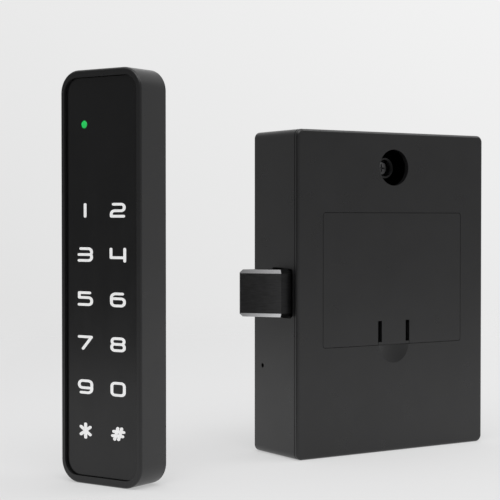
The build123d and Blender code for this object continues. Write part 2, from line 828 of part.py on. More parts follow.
def gear_plate():
    """The steel plate in front of the gears, with an arm over the slider's end."""
    left = motor_x - motor_width / 2 - tray_wall / 4
    right = lock_width - lock_wall - lip_thickness
    low = pillar_places()[2][1] - pillar_radius - gear_plate_corner / 2
    high = slider_low - 2 * gear_plate_corner
    plate_middle = Pos((left + right) / 2, (low + high) / 2)
    outline = plate_middle * bevelled(right - left, high - low, gear_plate_corner)
    arm_left = output_x + wheel_radius / 2
    arm_low = high - 2 * gear_plate_corner
    arm_high = slider_high - gear_plate_corner / 2
    arm = bevelled(right - arm_left, arm_high - arm_low, gear_plate_corner)
    outline += Pos((arm_left + right) / 2, (arm_low + arm_high) / 2) * arm
    plate = depth_prism(outline, gear_plate_front, gear_plate_back)
    front = gear_plate_front - overrun
    back = gear_plate_back + overrun
    for place in pillar_places():
        plate -= shank(place, small_screw_radius + running_gap, front, back)
    for place in ((output_x, output_z), (wheel_x, wheel_z)):
        plate -= rod(place, shaft_radius + seat_gap, front, back)
    return plate - peg((motor_x, motor_z), motor_boss_radius + running_gap, front, back)


def case_screw(place):
    """A screw from the back that draws the cover onto the housing."""
    seat = case_split + case_shoulder
    head = disc(place, case_head_radius, seat, seat + case_head_height)
    return head + shank(place, case_screw_radius, seat - case_shoulder - case_thread, seat)


def main_board():
    """The lock body's control board."""
    board_z = (board_bottom, board_bottom + board_height)
    board = block((board_left, board_left + board_width), (board_front, board_back), board_z)
    window_x = around(socket_place[0], socket_width / 2 + running_gap)
    window_z = around(socket_place[1], socket_height / 2 + running_gap)
    board -= block(window_x, (board_front - overrun, board_back + overrun), window_z)
    for place in board_screws:
        board -= shank(place, small_screw_radius + running_gap, board_front - overrun, board_back + overrun)
    return board


def cable_socket(place, start, flange_front, mouth):
    """A cable socket that opens to the back, with a flange that seats on its board."""
    x, z = place
    half_x = socket_width / 2
    half_z = socket_height / 2
    socket = block(around(x, half_x), (start, mouth), around(z, half_z))
    flange_y = (flange_front, flange_front + socket_flange)
    socket += block(around(x, half_x + socket_flange), flange_y, around(z, half_z + socket_flange))
    cavity_x = around(x, half_x - socket_wall)
    cavity_z = around(z, half_z - socket_wall)
    return socket - block(cavity_x, (start + socket_floor, mouth + overrun), cavity_z)


def socket_pins(place, start):
    """The row of contact pins that stand in a cable socket."""
    x, z = place
    row_step = (socket_width - 2 * socket_wall) / socket_ways
    floor = start + socket_floor
    pins = []
    for way in range(socket_ways):
        pin_x = x + (way - (socket_ways - 1) / 2) * row_step
        pins.append(block(around(pin_x, pin_side / 2), (floor, floor + pin_length), around(z, pin_side / 2)))
    return pins


def reset_switch():
    """The side-acting reset switch behind the pinhole, with a bore for its plunger."""
    x_span = (switch_left, switch_left + switch_body_length)
    y_span = (switch_depth - switch_body_front, board_front)
    body = block(x_span, y_span, around(switch_z, switch_body_height / 2))
    bore_radius = plunger_radius + running_gap
    bore_end = switch_left + plunger_inside + 2 * plunger_travel
    return body - cross_peg((switch_depth, switch_z), bore_radius, switch_left - overrun, bore_end)


def reset_plunger():
    """The reset switch's plunger, reached with a pin through the pinhole."""
    return cross_peg((switch_depth, switch_z), plunger_radius, plunger_tip, switch_left + plunger_inside)


def buzzer():
    """A round buzzer with a sound port."""
    top = board_front - buzzer_height
    body = disc(buzzer_place, buzzer_radius, top, board_front)
    return body - peg(buzzer_place, buzzer_port, top - overrun, top + buzzer_height / 2)


def capacitor():
    """A round capacitor with a scored top."""
    top = board_front - capacitor_length
    body = disc(capacitor_place, capacitor_radius, top, board_front)
    score_width = capacitor_radius / 8
    score = Rectangle(capacitor_radius, score_width) + Rectangle(score_width, capacitor_radius)
    return body - depth_prism(Pos(*capacitor_place) * score, top - overrun, top + score_width / 2)


def chip(place, size, height, seat, facing):
    """A square chip on a board, with its first corner cut back."""
    outline = Rectangle(size, size)
    outline = chamfer(outline.vertices().sort_by(Axis.X)[0], size / 8)
    far = seat + facing * height
    return depth_prism(Pos(*place) * outline, min(seat, far), max(seat, far))


def pad_outline(inset):
    """The keypad's outline in x and z, drawn in by an inset."""
    width = pad_width - 2 * inset
    height = pad_height - 2 * inset
    return Pos(pad_mid_x, pad_mid_z) * RectangleRounded(width, height, pad_corner - inset)


def panel_outline(gap):
    """The touch panel's outline in x and z, drawn in by a gap from the rim."""
    width = pad_width - 2 * (pad_side_rim + gap)
    height = pad_height - 2 * (pad_end_rim + gap)
    return Pos(pad_mid_x, pad_mid_z) * RectangleRounded(width, height, panel_corner - gap)


def pad_inner_outline(inset):
    """The outline of the keypad's inside, with bevelled corners."""
    outline = bevelled(pad_width - 2 * inset, pad_height - 2 * inset, pad_end_rim)
    return Pos(pad_mid_x, pad_mid_z) * outline


def post_places():
    """Where the keypad's back plate is screwed down."""
    columns = (post_inset_x, pad_width - post_inset_x)
    rows = (post_inset_z, pad_height - post_inset_z)
    return [(x, z) for x in columns for z in rows]


def insert_places():
    """Where the keypad takes the two fixing screws of the lock body."""
    reach = fixing_spacing / 2
    return [(pad_mid_x, pad_mid_z - reach), (pad_mid_x, pad_mid_z + reach)]


def key_places():
    """The middle of each touch key, row by row from the lowest."""
    return [(x, key_low_z + row * key_pitch) for row in range(key_rows) for x in (key_left_x, key_right_x)]


def keypad_housing():
    """The slim housing with a raised rim round the panel and screw posts inside."""
    shell = depth_prism(pad_outline(0), 0, pad_depth)
    shell = fillet(edges_at_depth(shell, 0), pad_face_round)
    shell = chamfer(edges_at_depth(shell, pad_depth), pad_back_bevel)
    shell -= depth_prism(panel_outline(0), -overrun, panel_back)
    shell -= depth_prism(pad_inner_outline(pad_cavity_inset), panel_back - overrun, pad_depth + overrun)
    shell -= depth_prism(pad_outline(back_plate_rim), back_plate_front, pad_depth + overrun)
    hole_end = back_plate_front - small_thread - part_gap
    for x, z in post_places():
        shell += block(around(x, post_half), (panel_back, back_plate_front), around(z, post_half))
        shell -= shank((x, z), small_screw_radius + seat_gap, hole_end, back_plate_front + overrun)
    return shell


def touch_panel():
    """The glossy panel, with a hole for the status lamp."""
    panel = depth_prism(panel_outline(lid_gap), panel_recess, panel_back)
    lamp_hole = lamp_radius + running_gap
    return panel - rod((lamp_x, lamp_z), lamp_hole, panel_recess - overrun, panel_back + overrun)


def indicator_lens():
    """The status lamp's light pipe, bevelled where it shows."""
    end = pad_board_front - led_height - part_gap
    pipe = rod((lamp_x, lamp_z), lamp_radius, panel_recess, end)
    return chamfer(edges_at_depth(pipe, panel_recess), lamp_crown)


def light_guide():
    """The pale sheet behind the panel that spreads the key lights."""
    front = panel_back + running_gap
    inset = pad_cavity_inset + guide_sheet_margin
    sheet = depth_prism(pad_inner_outline(inset), front, front + guide_sheet_thickness)
    back = front + guide_sheet_thickness
    sheet -= peg((lamp_x, lamp_z), lamp_radius + part_gap, front - overrun, back + overrun)
    return sheet - post_room(front, back)


def post_room(front, back):
    """The room that the sheets in the keypad leave round its posts."""
    half = post_half + part_gap / 2
    depth = (front - overrun, back + overrun)
    return [block(around(x, half), depth, around(z, half)) for x, z in post_places()]


def keypad_board():
    """The keypad's touch board."""
    board = depth_prism(pad_inner_outline(pad_cavity_inset + part_gap), pad_board_front, pad_board_back)
    return board - post_room(pad_board_front, pad_board_back)


def board_lamp(place):
    """One small lamp on the touch board."""
    x, z = place
    y_span = (pad_board_front - led_height, pad_board_front)
    return block(around(x, led_length / 2), y_span, around(z, led_width / 2))


def keypad_back_plate():
    """The plate that closes the keypad, with bosses for its inserts and a window for the socket."""
    plate = depth_prism(pad_outline(back_plate_rim + lid_gap), back_plate_front, pad_depth)
    insert_end = pad_depth - insert_length
    for place in insert_places():
        plate += peg(place, insert_radius + insert_wall, insert_end - part_gap, back_plate_front + seat_gap)
        plate -= peg(place, insert_radius + seat_gap, insert_end, pad_depth + overrun)
    head_front = pad_depth - small_head_height
    for place in post_places():
        plate -= shank(place, small_screw_radius + running_gap, back_plate_front - overrun, pad_depth)
        plate -= peg(place, small_head_radius + running_gap, head_front, pad_depth + overrun)
    window_x = around(pad_mid_x, socket_width / 2 + part_gap)
    window_z = around(pad_mid_z, socket_height / 2 + part_gap)
    return plate - block(window_x, (back_plate_front - overrun, pad_depth + overrun), window_z)


def keypad_screw(place):
    """A small screw from the back into a post."""
    seat = pad_depth - small_head_height
    head = peg(place, small_head_radius, seat, pad_depth)
    return head + shank(place, small_screw_radius, back_plate_front - small_thread, seat)


def screw_insert(place):
    """A brass insert with a blind threaded hole that opens to the back."""
    insert = peg(place, insert_radius, pad_depth - insert_length, pad_depth)
    return insert - rod(place, insert_bore, pad_depth - insert_bore_depth, pad_depth + overrun)


os.makedirs("parts", exist_ok=True)

save("rear_housing", lock_place, rear_housing())
save("front_cover", lock_place, front_cover())
save("battery_tray", lock_place, battery_tray())
save("battery_door", lock_place, battery_door())
save("battery_door_tongue", lock_place, battery_door_tongue())
for row in range(cell_count):
    save(f"battery_cell_{row + 1}", lock_place, battery_cell(row))
save("battery_springs", lock_place, *battery_springs())
save("battery_contacts", lock_place, *battery_contacts())

save("latch_bolt", lock_place, latch_bolt())
save("bolt_slider", lock_place, bolt_slider())
slider_head_front = slider_front - small_head_height
slider_screws = [flat_screw(place, slider_head_front, tang_back) for place in slider_screw_places()]
save("slider_screws", lock_place, *slider_screws)
save("bolt_spring", lock_place, return_spring())
save("bolt_guide", lock_place, bolt_guide())
guide_screws = [flat_screw(place, guide_front, wall_screw_end) for place in guide_screw_places()]
save("guide_screws", lock_place, *guide_screws)
spring_rod = cross_peg((rod_depth, rod_z), rod_radius, stop_right + rod_lead, guide_left + guide_width)
save("spring_rod", lock_place, spring_rod)

save("output_gear", lock_place, output_gear())
save("reduction_gear", lock_place, reduction_gear())
save("motor_pinion", lock_place, motor_pinion())
save("motor_shaft", lock_place, motor_shaft())
save("motor", lock_place, motor())
save("output_gear_pin", lock_place, gear_shaft((output_x, output_z), output_back + running_gap))
save("reduction_gear_pin", lock_place, gear_shaft((wheel_x, wheel_z), wheel_back + axial_gap))
save("gear_plate", lock_place, gear_plate())
plate_head_front = gear_plate_front - small_head_height
plate_screws = [flat_screw(place, plate_head_front, plate_screw_end) for place in pillar_places()]
save("gear_plate_screws", lock_place, *plate_screws)

upper_screw = fixing_screw((mid_x, fixing_top_z), fixing_seat)
lower_screw = fixing_screw((mid_x, fixing_low_z), lower_boss_front)
save("fixing_screws", lock_place, upper_screw, lower_screw)
save("case_screws", lock_place, *[case_screw(place) for place in case_places()])

save("main_board", lock_place, main_board())
board_head_front = board_front - small_head_height
main_board_screws = [flat_screw(place, board_head_front, wall_screw_end) for place in board_screws]
save("main_board_screws", lock_place, *main_board_screws)
save("control_chip", lock_place, chip(chip_place, chip_size, chip_height, board_front, -1))
save("capacitor", lock_place, capacitor())
save("buzzer", lock_place, buzzer())
save("reset_switch", lock_place, reset_switch())
save("reset_plunger", lock_place, reset_plunger())
socket_start = board_front - 2 * socket_flange
socket_seat = board_front - socket_flange
lock_socket = cable_socket(socket_place, socket_start, socket_seat, lock_depth - socket_recess)
save("lock_cable_socket", lock_place, lock_socket)
save("lock_socket_pins", lock_place, *socket_pins(socket_place, socket_start))

save("keypad_housing", pad_place, keypad_housing())
save("touch_panel", pad_place, touch_panel())
save("indicator_lens", pad_place, indicator_lens())
save("light_guide", pad_place, light_guide())
save("keypad_board", pad_place, keypad_board())
save("key_lamps", pad_place, *[board_lamp(place) for place in key_places()])
save("status_lamp", pad_place, board_lamp((lamp_x, lamp_z)))
touch_chip = chip((pad_mid_x, touch_chip_z), touch_chip_size, chip_height, pad_board_back, 1)
save("touch_chip", pad_place, touch_chip)
save("keypad_back_plate", pad_place, keypad_back_plate())
save("back_plate_screws", pad_place, *[keypad_screw(place) for place in post_places()])
save("screw_inserts", pad_place, *[screw_insert(place) for place in insert_places()])
pad_socket_place = (pad_mid_x, pad_mid_z)
pad_socket = cable_socket(pad_socket_place, pad_board_back, pad_board_back, pad_depth - socket_recess)
save("keypad_cable_socket", pad_place, pad_socket)
save("keypad_socket_pins", pad_place, *socket_pins(pad_socket_place, pad_board_back))
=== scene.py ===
import json
from math import cos, pi, radians, sin, tan

import bmesh
import bpy
from mathutils import Matrix, Vector
from mathutils.geometry import delaunay_2d_cdt


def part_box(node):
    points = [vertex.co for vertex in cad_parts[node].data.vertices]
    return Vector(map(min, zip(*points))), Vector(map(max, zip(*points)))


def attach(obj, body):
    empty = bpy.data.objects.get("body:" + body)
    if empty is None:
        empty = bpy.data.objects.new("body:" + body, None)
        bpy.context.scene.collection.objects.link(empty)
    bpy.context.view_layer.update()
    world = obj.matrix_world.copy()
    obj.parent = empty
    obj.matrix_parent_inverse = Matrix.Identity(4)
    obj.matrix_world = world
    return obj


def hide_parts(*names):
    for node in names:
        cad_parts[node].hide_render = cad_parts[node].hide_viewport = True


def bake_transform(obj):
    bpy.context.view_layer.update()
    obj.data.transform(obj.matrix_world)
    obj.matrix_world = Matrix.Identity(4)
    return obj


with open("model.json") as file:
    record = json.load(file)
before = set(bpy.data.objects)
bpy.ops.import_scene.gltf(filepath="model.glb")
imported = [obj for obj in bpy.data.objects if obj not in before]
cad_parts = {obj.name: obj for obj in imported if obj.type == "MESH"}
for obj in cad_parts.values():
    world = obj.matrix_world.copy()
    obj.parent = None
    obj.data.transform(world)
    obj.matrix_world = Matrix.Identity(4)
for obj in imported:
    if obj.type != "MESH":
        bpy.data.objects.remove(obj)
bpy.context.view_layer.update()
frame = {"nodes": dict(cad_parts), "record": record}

# Looks for an electronic cabinet lock: a black lock body and a slim touch keypad, on a pale floor.
# Metres in the part's frame. Names that end in _mm, and everything in the finishes and the key
# legends, are in millimetres.

mm = 0.001

# Where the keypad stands: its left front corner, its turn, and its panel's face
pad_corner_mm = (-116.8, -2.9)
pad_turn = radians(-66.85)
panel_face_mm = 0.9

# Key legends: their places, their strokes, and how much wider than drawn they are printed
key_left_mm = 8.7
key_right_mm = 20.95
key_low_mm = 15.4
key_pitch_mm = 12.86
legend_half_mm = 1.72
digit_stroke_mm = 0.77
sign_stroke_mm = 0.86
legend_width_share = 1.37
legend_rise_mm = 0.03
legend_sink_mm = 0.01
legend_join_mm = 0.0001
arc_steps = 6
cap_steps = 8

# The bolt's return spring, wound with one closed turn at each end
spring_wire_mm = 0.5
spring_turns = 8
closed_turns = 2
turn_steps = 20

# The bolt's bevel in x, from its tip to its straight side
bevel_tip_mm = -51.5
bevel_end_mm = -43

# The fixing screws' thread, which starts just past the lock body's back
lock_back_mm = 12.7
thread_start_mm = 0.1
thread_full_mm = 0.3
thread_pitch_mm = 0.5
thread_depth_mm = 0.25

# Where the cells' dark film ends in x, and their copper-coloured end begins
film_end_mm = 13
copper_start_mm = 13.4

# Most of a noise's values lie between these
noise_range = (0.3, 0.7)

# How strongly the lamp's lens and the milky plastic glow
lens_glow = 0.45
diffuser_glow = 0.22

# Directions in the part's frame: across the picture, into it, and up
across_picture = (0.842, -0.54, 0)
into_picture = (0.54, 0.842, 0)
upwards = (0, 0, 1)

# The floor: its shape, its colour, how much of its plain tone is seen past the shadows, that tone's
# levels by the distance across the picture, and the distances between which it fades away
floor_radius = 2.4
floor_sides = 64
floor_drop = 0.00005
floor_colour = (0.78, 0.78, 0.785, 1)
plain_share = 0.55
floor_levels = ((-0.3, 0.9), (-0.17, 0.74), (0.06, 0.82), (0.26, 1.02))
floor_fade = (0.15, 0.8)

# The world's levels by direction: the walls along x, and the backdrop, which grows lighter upwards and
# to the right while a direction's share of each stays within the span
wall_levels = ((-1, 0.2), (-0.6, 0.31), (0.55, 0.37), (1, 0.58))
backdrop_span = (-0.25, 0.25)
backdrop_upward = (0.735, 0.885)
backdrop_sideways = (-0.05, 0.05)
backdrop_edge = (0.7, 0.94)
ceiling_edge = (0.4, 0.85)
ceiling_levels = (0.9, 1.05)

# The soft lights, each with its place, size and power, and the place that they face
softboxes = {
    "key_light": ((-0.5, -0.7, 1.3), 1.1, 7.0),
    "side_light": ((1.1, -0.6, 1.4), 0.9, 3.4),
}
lit_place = Vector((-0.04, 0, 0.05))

# The camera that was fitted to the photograph
camera_place = (-0.2974, -0.3876, 0.0769)
camera_tilt = radians(88.8)
camera_turn = radians(-32.68)
camera_lens_mm = 103.1
camera_sensor_mm = 36
camera_nearest = 0.01


class Tree:
    """The nodes of a material or of the world, and the sums that both are made of."""

    def __init__(self, owner):
        owner.use_nodes = True
        self.nodes = owner.node_tree.nodes
        self.links = owner.node_tree.links

    def towards(self, vector, direction):
        """How far a vector reaches along a direction."""
        node = self.nodes.new("ShaderNodeVectorMath")
        node.operation = "DOT_PRODUCT"
        node.inputs[1].default_value = direction
        self.links.new(vector, node.inputs[0])
        return node.outputs["Value"]

    def length(self, vector):
        """The length of a vector."""
        node = self.nodes.new("ShaderNodeVectorMath")
        node.operation = "LENGTH"
        self.links.new(vector, node.inputs[0])
        return node.outputs["Value"]

    def maths(self, operation, first, second=0.0):
        """One sum on one or two values; the second may be a plain number."""
        node = self.nodes.new("ShaderNodeMath")
        node.operation = operation
        self.links.new(first, node.inputs[0])
        if isinstance(second, (int, float)):
            node.inputs[1].default_value = second
        else:
            self.links.new(second, node.inputs[1])
        return node.outputs[0]

    def spread(self, value, start, end, low=0.0, high=1.0, smooth=False):
        """A value's range from start to end, carried to the range from low to high."""
        node = self.nodes.new("ShaderNodeMapRange")
        node.interpolation_type = "SMOOTHSTEP" if smooth else "LINEAR"
        for name, number in zip(("From Min", "From Max", "To Min", "To Max"), (start, end, low, high)):
            node.inputs[name].default_value = number
        self.links.new(value, node.inputs["Value"])
        return node.outputs["Result"]

    def profile(self, value, stops):
        """A curve through (value, level) stops, as a ramp of greys."""
        start, end = stops[0][0], stops[-1][0]
        ramp = self.nodes.new("ShaderNodeValToRGB")
        elements = ramp.color_ramp.elements
        while len(elements) < len(stops):
            elements.new(1)
        for element, (place, level) in zip(elements, stops):
            element.position = (place - start) / (end - start)
            element.color = (level, level, level, 1)
        self.links.new(self.spread(value, start, end), ramp.inputs[0])
        return ramp.outputs["Color"]

    def between(self, share, first, second):
        """A value between two others."""
        node = self.nodes.new("ShaderNodeMix")
        for index, value in ((0, share), (2, first), (3, second)):
            self.links.new(value, node.inputs[index])
        return node.outputs[0]

    def shaded(self, share, first, second):
        """A shader between two others."""
        node = self.nodes.new("ShaderNodeMixShader")
        for socket, value in zip(node.inputs, (share, first, second)):
            self.links.new(value, socket)
        return node.outputs[0]


class Finish(Tree):
    """A procedural material, built up from noise in millimetres of the part's own frame."""

    def __init__(self, name, metallic=0.0, specular=0.5, coat=0.0):
        self.material = bpy.data.materials.new(name)
        super().__init__(self.material)
        self.shader = self.nodes["Principled BSDF"]
        self.shader.inputs["Metallic"].default_value = metallic
        self.shader.inputs["Specular IOR Level"].default_value = specular
        self.shader.inputs["Coat Weight"].default_value = coat
        coordinates = self.nodes.new("ShaderNodeTexCoord")
        self.normal = coordinates.outputs["Normal"]
        scale = self.nodes.new("ShaderNodeVectorMath")
        scale.operation = "SCALE"
        scale.inputs["Scale"].default_value = 1 / mm
        self.links.new(coordinates.outputs["Object"], scale.inputs[0])
        self.place = scale.outputs[0]

    def stretched(self, stretch):
        """The place in the part with its three axes scaled, for grain that runs one way."""
        node = self.nodes.new("ShaderNodeVectorMath")
        node.operation = "MULTIPLY"
        node.inputs[1].default_value = stretch
        self.links.new(self.place, node.inputs[0])
        return node.outputs[0]

    def noise(self, size, detail=3, stretch=(1, 1, 1)):
        """Cloudy noise whose blotches are about that many millimetres across."""
        node = self.nodes.new("ShaderNodeTexNoise")
        node.inputs["Scale"].default_value = 1 / size
        node.inputs["Detail"].default_value = detail
        self.links.new(self.stretched(stretch), node.inputs["Vector"])
        return node.outputs["Fac"]

    def seams(self, size):
        """The distance to the straight seams between cells about that many millimetres across."""
        node = self.nodes.new("ShaderNodeTexVoronoi")
        node.feature = "DISTANCE_TO_EDGE"
        node.inputs["Scale"].default_value = 1 / size
        self.links.new(self.place, node.inputs["Vector"])
        return node.outputs["Distance"]

    def axis(self, vector, letter):
        """One component of a vector."""
        node = self.nodes.new("ShaderNodeSeparateXYZ")
        self.links.new(vector, node.inputs[0])
        return node.outputs[letter]

    def mixed(self, share, first, second):
        """A colour between two others, each a tuple or a socket."""
        node = self.nodes.new("ShaderNodeMix")
        node.data_type = "RGBA"
        self.links.new(share, node.inputs[0])
        for index, colour in ((6, first), (7, second)):
            if isinstance(colour, tuple):
                node.inputs[index].default_value = (*colour, 1)
            else:
                self.links.new(colour, node.inputs[index])
        return node.outputs[2]

    def coloured(self, colour):
        """Gives the shader its base colour."""
        self.links.new(colour, self.shader.inputs["Base Color"])

    def roughened(self, value):
        """Gives the shader its roughness."""
        self.links.new(value, self.shader.inputs["Roughness"])

    def bumped(self, *layers):
        """Adds relief; each layer is a height from 0 to 1 and its depth in millimetres."""
        normal = None
        for height, depth in layers:
            node = self.nodes.new("ShaderNodeBump")
            node.inputs["Strength"].default_value = 1
            node.inputs["Distance"].default_value = depth * mm
            self.links.new(height, node.inputs["Height"])
            if normal:
                self.links.new(normal, node.inputs["Normal"])
            normal = node.outputs["Normal"]
        self.links.new(normal, self.shader.inputs["Normal"])


def clouded(name, dark, light, patch, rough, grain, depth, **sockets):
    """A finish with slow colour clouds, uneven gloss and an all-over fine grain."""
    finish = Finish(name, **sockets)
    finish.coloured(finish.mixed(finish.spread(finish.noise(patch), 0.35, 0.65), dark, light))
    finish.roughened(finish.spread(finish.noise(patch / 3), *noise_range, *rough))
    finish.bumped((finish.noise(grain, 2), depth))
    return finish


def brushed(name, dark, light, rough, depth, stretch):
    """A metal whose grain runs one way, with faint clouds across it."""
    finish = Finish(name, metallic=1.0)
    grain = finish.noise(0.35, 3, stretch)
    clouds = finish.spread(finish.noise(6), *noise_range)
    tone = finish.maths("MULTIPLY", finish.spread(grain, *noise_range), clouds)
    finish.coloured(finish.mixed(tone, dark, light))
    finish.roughened(finish.spread(grain, *noise_range, *rough))
    finish.bumped((grain, depth))
    return finish


def bolt_finish():
    """Dark nickel plate, with painted shade that darkens its straight side, and chamfers that are partly
    polish and partly painted highlight, growing brighter from its tip; the lower chamfers carry a brighter
    painted reflection of the floor.
    """
    finish = Finish("bolt_metal", metallic=1.0)
    upright = finish.maths("ABSOLUTE", finish.axis(finish.normal, "Z"))
    past_flat = finish.spread(upright, 0.35, 0.5)
    before_top = finish.spread(upright, 0.8, 0.95, 1, 0)
    outward = finish.maths("MULTIPLY", finish.axis(finish.normal, "X"), -1.0)
    bevelled = finish.spread(outward, 0.2, 0.4)
    # The chamfers on the bevel, which get a colour that is partly polish and partly painted highlight.
    polish_and_highlight_mask = finish.maths("MULTIPLY", finish.maths("MULTIPLY", past_flat, before_top), bevelled)
    grain = finish.noise(0.4, 3, (0.15, 0.15, 1))
    tone = finish.spread(grain, *noise_range)
    plate = finish.mixed(tone, (0.088, 0.088, 0.09), (0.108, 0.108, 0.11))
    # The straight side is painted darker than the plate: painted shade, not a different finish.
    painted_shade_side = finish.mixed(tone, (0.03, 0.03, 0.031), (0.04, 0.04, 0.041))
    # The plate on the bevel, with painted shade on the straight side.
    body = finish.mixed(bevelled, painted_shade_side, plate)
    # Downward-facing chamfers get a brighter colour: a painted reflection of the floor.
    painted_reflection_mask = finish.spread(finish.axis(finish.normal, "Z"), -0.3, 0.3, 1, 0)
    # Painted highlight on the chamfers, growing brighter from the tip towards the straight side.
    along = finish.spread(finish.axis(finish.place, "X"), bevel_tip_mm, bevel_end_mm)
    # Upper chamfers: partly polish, partly painted highlight from the light above.
    top = finish.mixed(along, (0.15, 0.15, 0.153), (0.34, 0.34, 0.345))
    lower_polish_and_painted_reflection = finish.mixed(along, (0.26, 0.26, 0.264), (0.8, 0.8, 0.81))
    finish.coloured(finish.mixed(polish_and_highlight_mask, body, finish.mixed(painted_reflection_mask, top, lower_polish_and_painted_reflection)))
    finish.roughened(finish.spread(grain, *noise_range, 0.32, 0.38))
    finish.bumped((grain, 0.0012), (finish.noise(3, 1), 0.006))
    return finish


def screw_finish():
    """Dark plated steel, with thread ridges where the fixing screws stand out of the back."""
    finish = Finish("screw_steel", metallic=1.0)
    depth = finish.axis(finish.place, "Y")
    outside = finish.spread(depth, lock_back_mm + thread_start_mm, lock_back_mm + thread_full_mm)
    ridge = finish.maths("SINE", finish.maths("MULTIPLY", depth, 2 * pi / thread_pitch_mm))
    thread = finish.maths("MULTIPLY", finish.spread(ridge, -1, 1), outside)
    wear = finish.spread(finish.noise(0.8), 0.4, 0.7)
    finish.coloured(finish.mixed(wear, (0.2, 0.2, 0.204), (0.28, 0.28, 0.285)))
    finish.roughened(finish.spread(finish.noise(0.5), *noise_range, 0.28, 0.42))
    finish.bumped((finish.noise(0.3, 2), 0.004), (thread, thread_depth_mm))
    return finish


def cell_finish():
    """A plain film sleeve, dark with light scuffs, and copper-coloured towards one end."""
    finish = Finish("cell_sleeve", metallic=0.35, coat=0.4)
    coppery = finish.spread(finish.axis(finish.place, "X"), film_end_mm, copper_start_mm)
    scuffs = finish.spread(finish.noise(1.5, 4), 0.35, 0.7)
    film = finish.mixed(scuffs, (0.05, 0.055, 0.06), (0.08, 0.085, 0.09))
    copper = finish.mixed(scuffs, (0.55, 0.3, 0.13), (0.62, 0.36, 0.18))
    finish.coloured(finish.mixed(coppery, film, copper))
    finish.roughened(finish.spread(finish.noise(2), *noise_range, 0.25, 0.4))
    finish.bumped((finish.noise(0.6, 2), 0.01))
    return finish


def board_finish():
    """Green solder mask over copper tracks that show as a faint relief."""
    finish = Finish("board_green", coat=0.5)
    tracks = finish.spread(finish.seams(2.4), 0.05, 0.09, 1, 0)
    clouds = finish.spread(finish.noise(5), *noise_range)
    mask = finish.mixed(clouds, (0.012, 0.12, 0.05), (0.02, 0.16, 0.07))
    finish.coloured(finish.mixed(tracks, mask, (0.04, 0.26, 0.12)))
    finish.roughened(finish.spread(clouds, 0, 1, 0.3, 0.42))
    finish.bumped((tracks, 0.03), (finish.noise(0.3, 2), 0.004))
    return finish


def panel_finish():
    """The keypad's glossy panel, with the faintest waviness and smears in its polish."""
    finish = Finish("panel_gloss")
    clouds = finish.spread(finish.noise(14, 2), *noise_range)
    finish.coloured(finish.mixed(clouds, (0.0035, 0.0035, 0.0038), (0.005, 0.005, 0.0053)))
    smears = finish.spread(finish.noise(5, 4, (1, 1, 0.35)), 0.35, 0.7)
    finish.roughened(finish.spread(smears, 0, 1, 0.17, 0.24))
    finish.bumped((finish.noise(9, 1), 0.006), (finish.noise(0.4, 2), 0.0008))
    return finish


def lens_finish():
    """The lit green status lamp, with faint clouds in its colour and its glow."""
    finish = Finish("lens_green", coat=0.2)
    clouds = finish.spread(finish.noise(0.7, 2), *noise_range)
    finish.coloured(finish.mixed(clouds, (0.01, 0.42, 0.08), (0.02, 0.6, 0.13)))
    finish.roughened(finish.spread(clouds, 0, 1, 0.18, 0.3))
    finish.bumped((finish.noise(0.5, 1), 0.01))
    glow = finish.mixed(clouds, (0.008, 0.45, 0.07), (0.012, 0.58, 0.1))
    finish.links.new(glow, finish.shader.inputs["Emission Color"])
    finish.shader.inputs["Emission Strength"].default_value = lens_glow
    return finish


def diffuser_finish():
    """Milky plastic and legend print that glow a little from the lamps behind them."""
    finish = clouded("diffuser", (0.8, 0.8, 0.8), (0.88, 0.88, 0.88), 3, (0.4, 0.5), 0.12, 0.003)
    finish.shader.inputs["Emission Color"].default_value = (1, 1, 1, 1)
    finish.shader.inputs["Emission Strength"].default_value = diffuser_glow
    return finish


